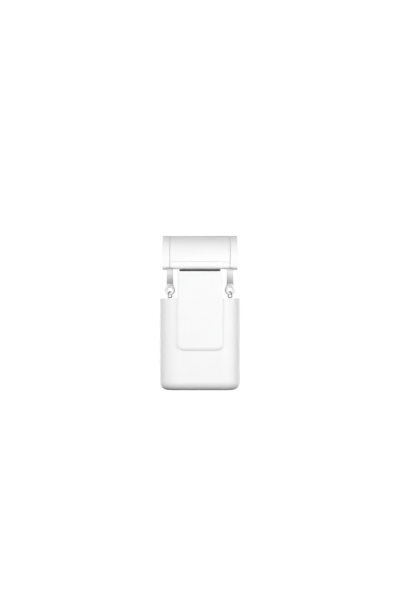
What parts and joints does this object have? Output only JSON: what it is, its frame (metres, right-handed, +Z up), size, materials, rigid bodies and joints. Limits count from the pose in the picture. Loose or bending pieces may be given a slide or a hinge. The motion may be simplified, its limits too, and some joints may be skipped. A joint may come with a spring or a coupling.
{
  "type": "smart curtain robot",
  "caption": "White battery-driven robot whose spring-loaded hook clamps over a curtain rod, with a geared rubber drive wheel under the rod and a swinging curtain hanger on each side.",
  "frame": {"origin": "on the axis of the curtain rod, midway along the hook", "axes": "+X along the rod, to the right seen from the front; +Y to the rear; +Z up"},
  "size_m": [0.075, 0.0489, 0.1435],
  "materials": {
    "white_case": "fine satin moulded plastic",
    "white_hook": "fine satin moulded plastic",
    "white_panel": "smooth satin moulded plastic",
    "white_ring": "smooth moulded acetal",
    "grey_link": "moulded nylon",
    "dark_nylon": "glass-filled nylon",
    "roller_rubber": "moulded rubber",
    "hub_plastic": "moulded plastic",
    "gear_acetal": "moulded acetal",
    "steel": "turned steel",
    "link_wire": "plated wire",
    "bronze": "sintered bronze",
    "pinion_brass": "cut brass",
    "cell_wrap": "shrink-wrapped cell",
    "nickel": "nickel sheet",
    "board": "coated glass-fibre board",
    "chip_black": "moulded epoxy",
    "clear": "clear acrylic"
  },
  "bodies": {
    "case": {"case_shell": "white_case", "top_cover": "white_case", "cover_screws": "steel", "drive_frame": "dark_nylon", "frame_screws": "steel", "bearing_front": "bronze", "bearing_rear": "bronze", "gear_cover": "dark_nylon", "gear_screws": "steel", "compound_pin": "steel", "motor_can": "steel", "motor_gearbox": "dark_nylon", "motor_screws": "steel", "battery_left": "cell_wrap", "battery_right": "cell_wrap", "battery_cradle": "dark_nylon", "battery_tabs": "nickel", "circuit_board": "board", "board_chips": "chip_black", "usb_port": "nickel", "button_switch": "chip_black", "light_pipe": "clear", "clamp_spring_left": "steel", "clamp_spring_right": "steel"},
    "clamp": {"clamp_arm": "dark_nylon", "front_panel": "white_panel", "saddle_cover": "white_hook", "end_cap_left": "white_hook", "end_cap_right": "white_hook", "cap_screws": "steel", "idler_axle_left": "steel", "idler_axle_right": "steel", "hanger_pin_left": "steel", "hanger_pin_right": "steel"},
    "drive_wheel": {"wheel_hub": "hub_plastic", "wheel_tyre": "roller_rubber", "wheel_axle": "steel", "wheel_gear": "gear_acetal"},
    "compound": {"compound_gear": "gear_acetal"},
    "pinion": {"motor_pinion": "pinion_brass"},
    "button": {"function_button": "white_hook"},
    "idler_left": {"idler_roller_left": "roller_rubber"},
    "hanger_left": {"hanger_left": "grey_link"},
    "eyelet_left": {"eyelet_left": "white_ring"},
    "link_left": {"wire_link_left": "link_wire"},
    "idler_right": {"idler_roller_right": "roller_rubber"},
    "hanger_right": {"hanger_right": "grey_link"},
    "eyelet_right": {"eyelet_right": "white_ring"},
    "link_right": {"wire_link_right": "link_wire"}
  },
  "joints": [
    {"name": "clamp_slide", "type": "slide", "parent": "case", "child": "clamp", "axis": [0, 0, 1], "range_m": [0, 0.014], "stiffness_N_per_m": 600, "springref_m": -0.03, "deforming": ["clamp_spring_left", "clamp_spring_right"]},
    {"name": "wheel_spin", "type": "hinge", "parent": "case", "child": "drive_wheel", "pos_m": [0, 0, -0.02615], "axis": [0, 1, 0], "continuous": true},
    {"name": "compound_spin", "type": "hinge", "parent": "case", "child": "compound", "pos_m": [0, 0, -0.04055], "axis": [0, 1, 0], "continuous": true},
    {"name": "pinion_spin", "type": "hinge", "parent": "case", "child": "pinion", "pos_m": [0, 0, -0.05735], "axis": [0, 1, 0], "continuous": true},
    {"name": "button_press", "type": "slide", "parent": "case", "child": "button", "axis": [0, 0, 1], "range_m": [0, 0.0008], "stiffness_N_per_m": 900, "springref_m": -0.0006},
    {"name": "idler_left_spin", "type": "hinge", "parent": "clamp", "child": "idler_left", "pos_m": [-0.017, 0, 0.01545], "axis": [0, 1, 0], "continuous": true},
    {"name": "hanger_left_swing", "type": "hinge", "parent": "clamp", "child": "hanger_left", "pos_m": [-0.0279, -0.0159, -0.0024], "axis": [1, 0, 0], "range_deg": [-22, 15]},
    {"name": "eyelet_left_swivel", "type": "hinge", "parent": "hanger_left", "child": "eyelet_left", "pos_m": [-0.0279, -0.0159, -0.0251], "axis": [0, 0, 1], "continuous": true},
    {"name": "link_left_swing", "type": "hinge", "parent": "eyelet_left", "child": "link_left", "pos_m": [-0.0279, -0.0159, -0.0287], "axis": [0.9781, -0.2079, 0], "range_deg": [-40, 40]},
    {"name": "idler_right_spin", "type": "hinge", "parent": "clamp", "child": "idler_right", "pos_m": [0.017, 0, 0.01545], "axis": [0, 1, 0], "continuous": true},
    {"name": "hanger_right_swing", "type": "hinge", "parent": "clamp", "child": "hanger_right", "pos_m": [0.0279, -0.0159, -0.0024], "axis": [1, 0, 0], "range_deg": [-22, 15]},
    {"name": "eyelet_right_swivel", "type": "hinge", "parent": "hanger_right", "child": "eyelet_right", "pos_m": [0.0279, -0.0159, -0.0251], "axis": [0, 0, 1], "continuous": true},
    {"name": "link_right_swing", "type": "hinge", "parent": "eyelet_right", "child": "link_right", "pos_m": [0.0279, -0.0159, -0.0287], "axis": [0.9781, 0.2079, 0], "range_deg": [-40, 40]}
  ],
  "couplings": [
    {"joint": "compound_spin", "follows": "wheel_spin", "ratio": -1.5714},
    {"joint": "pinion_spin", "follows": "wheel_spin", "ratio": 3.1429}
  ]
}
